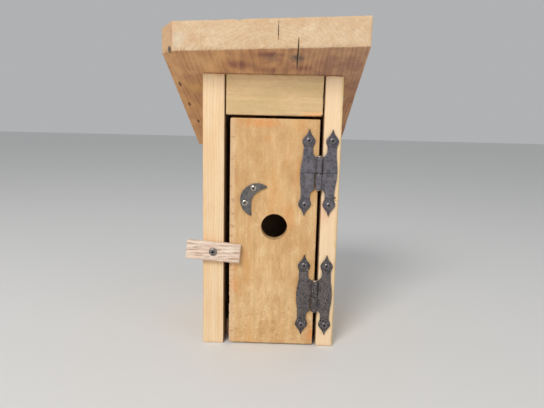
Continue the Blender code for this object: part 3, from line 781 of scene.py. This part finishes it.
def hammer(piece, depth, spacing, seed, extra=None):
    """Sinks shallow hammer dents, and any extra depth given for each point, into the front of a plate."""
    mesh = piece.data
    points, normals = np.empty((2, len(mesh.vertices) * 3))
    mesh.vertices.foreach_get("co", points)
    mesh.vertex_normals.foreach_get("vector", normals)
    points = points.reshape(-1, 3)
    facing = np.clip(-normals[1::3], 0, 1)
    flat = points * (1, 0, 1) / spacing + (seed, seed, seed)
    nearest = np.array([noise.voronoi(Vector(place))[0][0] for place in flat])
    hollow = np.clip(1 - nearest * 1.2, 0, 1) ** 1.5
    grain = 0.5 + 0.5 * rough(points, 800, seed)
    cut = extra(points) if extra is not None else 0.0
    points[:, 1] += facing * (depth * (hollow + 0.3 * grain) + cut)
    mesh.vertices.foreach_set("co", points.ravel())
    note_values(mesh, "dent", np.clip(hollow + cut / (0.35 * MM), 0, 1.6))
    mesh.update()


def hammered_iron(name, dark, light, rust, roughness, pitted=0.0):
    """Black iron: a little darker in the dents, rubbed lighter on the ridges, streaked by the hammer, with
    fine pits, pale specks painted on as highlights, and a brownish bloom. A pitted piece has dark specks and
    many more of the painted bright specks."""
    material, bench, shader, places = blank_material(name)
    dent = bench.worn("dent")
    pits = bench.noise(places, (900, 900, 900), detail=4.0)
    cloud = bench.noise(places, (130, 130, 130), detail=4.0)
    streaks = bench.noise(places, (560, 560, 130), detail=3.0)
    rubbed = bench.rise(streaks * 0.4 + cloud * 0.3 + (1.0 - dent) * 0.3, 0.35, 0.85)
    iron = Paint(bench, places, bench.blend(rubbed, dark, light))
    iron.cover(cloud, 0.52, 0.7, 0.4, rust)
    iron.cover(pits, 0.46, 0.34, 0.25 + pitted, tone(44, 40, 42))
    # Painted highlight: pale specks stand in for glints off the pits.
    iron.cover(pits, 0.56, 0.68, 0.15 + pitted, tone(176, 168, 166))
    height = pits * (0.6 + pitted) + streaks * 0.8 + cloud * 0.5
    uneven = roughness + (pits - 0.5) * 0.3 - rubbed * 0.08
    bench.dress(shader, iron.colour, uneven, 0.6, 0.18 * MM, height)
    bench.plug(shader.inputs["Metallic"], 0.4 + rubbed * 0.35)
    return material


def leaf_marks(level, centre):
    """Depths sunk by hand: spades dressed thinner away from their screws, a line scored across the middle of
    the upper leaves, and chisel strokes down the lower barrel."""

    def extra(points):
        x, up = points[:, 0] - centre.x, np.abs(points[:, 2] - centre.z)
        spade = np.clip((up - 26 * MM) / (3 * MM), 0, 1)
        away = np.hypot(x, up - 34.2 * MM)
        sunk = spade * 0.55 * MM * np.clip((away - 3.2 * MM) / (6 * MM), 0, 1)
        neck = np.exp(-((up - 27.2 * MM) / (0.7 * MM)) ** 2)
        sunk = sunk + 0.35 * MM * neck
        if level == "upper":
            return sunk + 0.4 * MM * np.exp(-((points[:, 2] - centre.z) / (0.55 * MM)) ** 2)
        on_barrel = np.abs(points[:, 0] - hinge_line_x) < 3.9 * MM
        strokes = rough(points * (1, 0, 0.22), 900, 77)
        return sunk + on_barrel * 0.5 * MM * np.clip(strokes * 2.2 + 0.3, 0, 1)

    return extra


hinge_irons = {
    "upper": hammered_iron("black hinge iron", tone(80, 77, 83), tone(140, 136, 143), tone(116, 102, 98),
                           roughness=0.4, pitted=0.1),
    "lower": hammered_iron("pitted hinge iron", tone(72, 67, 68), tone(122, 115, 114), tone(112, 98, 88),
                           roughness=0.42, pitted=0.85),
}
hinge_line_x = next(joint for joint in frame["joints"] if joint["name"] == "door_swing")["pos_m"][0]
leaf_bodies = {"door": "door", "frame": "house"}
for level_seed, level in enumerate(("upper", "lower")):
    for side_seed, (side, body) in enumerate(leaf_bodies.items()):
        node = f"{level}_hinge_{side}_leaf"
        leaf_low, leaf_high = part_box(node)
        way = -1 if side == "door" else 1
        centre = Vector((hinge_line_x + way * 12.7 * MM, 0, (leaf_low.z + leaf_high.z) / 2))
        leaf = cast_copy(f"{level}_{side}_leaf", node, 0.45 * MM, 4)
        hammer(leaf, 0.3 * MM, 4.2 * MM, 3.7 + 2 * level_seed + side_seed, leaf_marks(level, centre))
        settle(leaf, body, "hinge_iron", hinge_irons[level], node)


def turned_steel(name, colour, stain, roughness):
    """Steel with fine scratches, a little staining, and painted shade in the driver recess."""
    material, bench, shader, places = blank_material(name)
    specks = bench.noise(places, (1400, 1400, 1400), detail=3.0)
    cloud = bench.noise(places, (300, 300, 300), detail=3.0)
    stained = bench.rise(cloud, 0.45, 0.7) * 0.6
    recess = bench.rise(bench.worn("recess"), 0.02, 0.12)
    steel = Paint(bench, places, bench.blend(stained, colour, stain))
    # Painted shade: the cross recess is painted nearly black.
    steel.lay(recess * 0.85, tone(30, 26, 25))
    uneven = roughness + (specks - 0.5) * 0.3 + recess * 0.3
    bench.dress(shader, steel.colour, uneven, 0.4, 0.05 * MM, specks)
    bench.plug(shader.inputs["Metallic"], 1.0 - stained * 0.6 - recess * 0.3)
    return material


pin_steel = turned_steel("pin steel", tone(196, 190, 182), tone(120, 104, 90), 0.36)
for level in ("upper", "lower"):
    node = f"{level}_hinge_pin"
    pin = cast_copy(f"{level}_pin", node, 0.3 * MM, 3)
    settle(pin, "house", "pin_steel", pin_steel, node)

# ----------------------------------------------------------------------
# Moon plate. A crescent cut from slate-grey hammered iron, screwed to the door above the entrance hole.

moon = cast_copy("moon_crescent", "moon_plate", 0.4 * MM, 5)
hammer(moon, 0.22 * MM, 4.6 * MM, 9.1)
moon_iron = hammered_iron("slate moon iron", tone(78, 78, 80), tone(130, 127, 124), tone(108, 94, 82), 0.45)
settle(moon, "door", "moon_iron", moon_iron, "moon_plate")

# ----------------------------------------------------------------------
# Screws. Pan heads with a cross recess: blackened ones in the hinges, brighter ones in the moon, one large
# dark one through the turn button, and plain ones that hold the boards together.


def screw_tree(material):
    """Geometry nodes that set a screw on each point, its head facing along the point's outwards value."""
    tree = bpy.data.node_groups.new("screws", "GeometryNodeTree")
    tree.interface.new_socket("Geometry", in_out="INPUT", socket_type="NodeSocketGeometry")
    sizes = ("Head Radius", "Head Height", "Recess Width", "Recess Depth", "Shank Radius", "Length")
    for label in sizes:
        tree.interface.new_socket(label, in_out="INPUT", socket_type="NodeSocketFloat")
    tree.interface.new_socket("Geometry", in_out="OUTPUT", socket_type="NodeSocketGeometry")
    bench = Bench(tree)
    inputs = tree.nodes.new("NodeGroupInput")
    given = {label: Strand(bench, inputs.outputs[label]) for label in sizes}
    head_radius, head_height = given["Head Radius"], given["Head Height"]

    def own_place():
        at = bench.node("GeometryNodeInputPosition")
        return [bench.node("ShaderNodeSeparateXYZ", {}, {0: at}, output=k) for k in range(3)]

    def moved(shape, x, y, z):
        place = bench.node("ShaderNodeCombineXYZ", {}, {0: x, 1: y, 2: z})
        return bench.node("GeometryNodeSetPosition", {}, {"Geometry": shape, "Position": place})

    def at_least_nothing(value):
        return bench.node("ShaderNodeMath", {"operation": "MAXIMUM"}, {0: value, 1: 0.0})

    ball = bench.node("GeometryNodeMeshUVSphere", {}, {"Segments": 40, "Rings": 24, "Radius": 1.0})
    x, y, z = own_place()
    head = moved(ball, x * head_radius, y * head_radius, at_least_nothing(z) * head_height)
    settings = {"operation": "DIFFERENCE", "solver": "EXACT"}
    cross_cut = bench.node("GeometryNodeMeshBoolean", settings, {"Mesh 1": head})
    depth = given["Recess Depth"]
    for across in (0, 1):
        arm = bench.node("GeometryNodeMeshCube", {}, {"Size": (1.0, 1.0, 1.0)})
        x, y, z = own_place()
        taper = 0.8 + z * 0.5
        long_side = head_radius * 1.15 * taper
        wide_side = given["Recess Width"] * taper
        spans = (long_side, wide_side) if across else (wide_side, long_side)
        # One arm goes a little deeper, so that their floors don't lie in one plane.
        deep = (head_height * 2.1 - depth) * 0.5 + z * (head_height * (0.1 + 0.04 * across) + depth)
        arm = moved(arm, x * spans[0], y * spans[1], deep)
        tree.links.new(arm.socket, cross_cut.socket.node.inputs["Mesh 2"])
    x, y, z = own_place()
    rim_share = (x / head_radius) ** 2 + (y / head_radius) ** 2
    lack = at_least_nothing(1.0 - rim_share) ** 0.5 - z / head_height
    sockets = {"Geometry": cross_cut, "Name": "recess", "Value": lack}
    settings = {"data_type": "FLOAT", "domain": "POINT"}
    marked = bench.node("GeometryNodeStoreNamedAttribute", settings, sockets)

    length = given["Length"]
    rod_sockets = {"Vertices": 14, "Radius": given["Shank Radius"], "Depth": length}
    rod = bench.node("GeometryNodeMeshCylinder", {}, rod_sockets)
    drop = bench.node("ShaderNodeCombineXYZ", {}, {2: length * -0.5 - 0.05 * MM})
    rod = bench.node("GeometryNodeTransform", {}, {"Geometry": rod, "Translation": drop})
    joined = bench.node("GeometryNodeJoinGeometry")
    for part in (rod, marked):
        tree.links.new(part.socket, joined.socket.node.inputs[0])

    named = "GeometryNodeInputNamedAttribute"
    outwards = bench.node(named, {"data_type": "FLOAT_VECTOR"}, {"Name": "outwards"})
    spin = bench.node(named, {"data_type": "FLOAT"}, {"Name": "spin"})
    facing = bench.node("FunctionNodeAlignRotationToVector", {"axis": "Z"}, {"Vector": outwards})
    turned = bench.node("FunctionNodeAxisAngleToRotation", {}, {"Axis": (0, 0, 1), "Angle": spin})
    sockets = {"Rotation": facing, "Rotate By": turned}
    turned = bench.node("FunctionNodeRotateRotation", {"rotation_space": "LOCAL"}, sockets)
    points = Strand(bench, inputs.outputs["Geometry"])
    sockets = {"Points": points, "Instance": joined, "Rotation": turned}
    placed = bench.node("GeometryNodeInstanceOnPoints", {}, sockets)
    real = bench.node("GeometryNodeRealizeInstances", {}, {"Geometry": placed})
    dressed = bench.node("GeometryNodeSetMaterial", {}, {"Geometry": real, "Material": material})
    leave = tree.nodes.new("NodeGroupOutput")
    tree.links.new(dressed.socket, leave.inputs[0])
    return tree


def drive_screws(name, body, tree, sizes, outwards, nodes, seed):
    """Screws on the seats of their CAD nodes, as one plain mesh on one body."""
    outwards = Vector(outwards)
    seats = []
    for node in nodes:
        corners = [v.co for v in frame["nodes"][node].data.vertices]
        top = max(co.dot(outwards) for co in corners)
        crown = [co for co in corners if co.dot(outwards) > top - 0.05 * MM]
        seats.append(sum(crown, Vector()) / len(crown) - outwards * sizes["Head Height"])
    mesh = bpy.data.meshes.new(name)
    mesh.from_pydata(seats, [], [])
    facing = mesh.attributes.new("outwards", "FLOAT_VECTOR", "POINT")
    facing.data.foreach_set("vector", [*outwards] * len(seats))
    note_values(mesh, "spin", [seed + 1.3 * index for index in range(len(seats))])
    piece = put(name, mesh)
    modifier = piece.modifiers.new("screws", "NODES")
    modifier.node_group = tree
    for item in tree.interface.items_tree:
        if item.in_out == "INPUT" and item.name in sizes:
            modifier[item.identifier] = sizes[item.name]
    make_real(piece)
    piece.data.shade_smooth()
    piece.data.set_sharp_from_angle(angle=math.radians(35))
    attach(piece, body)
    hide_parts(*nodes)


def screw_sizes(head_radius, head_height, shank_radius, length):
    return {
        "Head Radius": head_radius,
        "Head Height": head_height,
        "Recess Width": head_radius * 0.32,
        "Recess Depth": head_height * 0.8,
        "Shank Radius": shank_radius,
        "Length": length,
    }


towards_front = (0, -1, 0)
hinge_steel = turned_steel("blackened screw steel", tone(128, 124, 128), tone(70, 64, 62), 0.38)
hinge_tree = screw_tree(hinge_steel)
hinge_sizes = screw_sizes(3.4 * MM, 1.3 * MM, 1.6 * MM, 12.5 * MM)
for level_seed, level in enumerate(("upper", "lower")):
    for side, body in leaf_bodies.items():
        nodes = [f"{level}_hinge_{side}_screw_{end}" for end in ("top", "bottom")]
        drive_screws(f"{level}_{side}_screws", body, hinge_tree, hinge_sizes,
                     towards_front, nodes, 0.4 + level_seed)

moon_steel = turned_steel("moon screw steel", tone(186, 178, 168), tone(100, 84, 70), 0.32)
moon_sizes = screw_sizes(3.4 * MM, 1.3 * MM, 1.6 * MM, 11.5 * MM)
drive_screws("moon_screws", "door", screw_tree(moon_steel), moon_sizes, towards_front,
             ["moon_screw_upper", "moon_screw_lower"], 0.5)

button_steel = turned_steel("button screw steel", tone(150, 142, 138), tone(84, 68, 58), 0.4)
button_sizes = screw_sizes(4.5 * MM, 1.7 * MM, 2.0 * MM, 25.0 * MM)
drive_screws("button_screw", "house", screw_tree(button_steel), button_sizes,
             towards_front, ["turn_button_screw"], 0.2)

board_steel = turned_steel("board screw steel", tone(176, 172, 164), tone(120, 104, 88), 0.4)
board_tree = screw_tree(board_steel)
board_sizes = screw_sizes(4.0 * MM, 1.5 * MM, 1.9 * MM, 40.0 * MM)
side_labels = ("back_wall_screw_low", "back_wall_screw_high", "floor_screw_front", "floor_screw_rear",
               "header_screw")
for side, outwards in (("left", (-1, 0, 0)), ("right", (1, 0, 0))):
    nodes = [f"{label}_{side}" for label in side_labels]
    drive_screws(f"{side}_board_screws", "house", board_tree, board_sizes,
                 outwards, nodes, 0.9)

roof_sizes = screw_sizes(4.2 * MM, 1.5 * MM, 2.0 * MM, 52.0 * MM)
roof_nodes = [f"roof_screw_{end}_{side}" for end in ("front", "rear") for side in ("left", "right")]
drive_screws("roof_screws", "house", board_tree, roof_sizes,
             slope_normal, roof_nodes, 0.3)

# ----------------------------------------------------------------------
# Studio. A plain pale floor, one broad soft lamp in front and above to the left, a weaker one on the right,
# and a camera at the height of the door's top, a forearm's length away and tipped a little down.

floor_material, _, shader, _ = blank_material("studio floor")
shader.inputs["Base Color"].default_value = (0.78, 0.78, 0.77, 1.0)
shader.inputs["Roughness"].default_value = 0.9
floor_reach = 12.0
floor_corners = ((-1, -1), (1, -1), (1, 1), (-1, 1))
floor_points = [(x * floor_reach, y * floor_reach, 0) for x, y in floor_corners]
studio_floor = mesh_piece("studio_floor", floor_points, [(0, 1, 2, 3)])
studio_floor.data.materials.append(floor_material)

world = bpy.data.worlds.new("studio")
world.use_nodes = True
sky = world.node_tree.nodes["Background"]
sky.inputs["Color"].default_value = (0.97, 0.98, 1.0, 1.0)
sky.inputs["Strength"].default_value = 0.45
bpy.context.scene.world = world


def soft_lamp(name, place, size, power, colour):
    """A round lamp that looks at the middle of the house."""
    lamp = bpy.data.lights.new(name, "AREA")
    lamp.shape = "DISK"
    lamp.size = size
    lamp.energy = power
    lamp.color = colour
    holder = put(name, lamp)
    holder.location = place
    house_middle = Vector((0, 0, 0.17))
    holder.rotation_euler = (house_middle - Vector(place)).to_track_quat("-Z", "Y").to_euler()
    holder.visible_camera = False


soft_lamp("key_lamp", (-0.7, -1.6, 1.5), 0.9, 27, (1.0, 0.985, 0.96))
soft_lamp("fill_lamp", (1.4, -1.2, 0.5), 1.2, 4, (1.0, 0.99, 0.98))

camera_data = bpy.data.cameras.new("camera")
camera_data.sensor_width = 36.0
camera_data.lens = 30.35
camera_data.clip_start = 0.01
camera = put("camera", camera_data)
camera_place = Vector(mm(11.2, -558.4, 241.9))
camera_turn, camera_dip, camera_roll = math.radians(1.11), math.radians(9.32), math.radians(1.33)
camera.matrix_world = (
    Matrix.Translation(camera_place)
    @ Matrix.Rotation(camera_turn, 4, "Z")
    @ Matrix.Rotation(math.radians(90) - camera_dip, 4, "X")
    @ Matrix.Rotation(camera_roll, 4, "Z")
)
bpy.context.scene.camera = camera
bpy.context.scene.view_settings.view_transform = "Standard"
